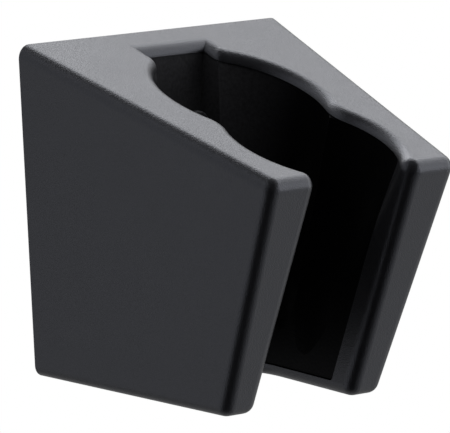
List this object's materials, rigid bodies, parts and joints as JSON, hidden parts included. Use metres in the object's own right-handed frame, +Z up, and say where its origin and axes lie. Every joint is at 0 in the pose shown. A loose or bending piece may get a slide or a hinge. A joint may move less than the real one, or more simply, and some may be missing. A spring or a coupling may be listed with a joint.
{
  "type": "hand shower holder",
  "caption": "Matt black wedge-shaped wall holder for a hand shower, with a keyhole opening over tapered round seats and a front slot for the hose.",
  "frame": {"origin": "middle of the flat back, on the wall", "axes": "+Y into the wall, +Z up, +X to the right of someone who faces the wall"},
  "size_m": [0.0496, 0.043, 0.0472],
  "materials": {
    "cover": "matt black with a fine grain",
    "seat_insert": "smooth black plastic"
  },
  "bodies": {
    "root": {"cover": "cover", "seat_insert": "seat_insert"}
  },
  "joints": []
}
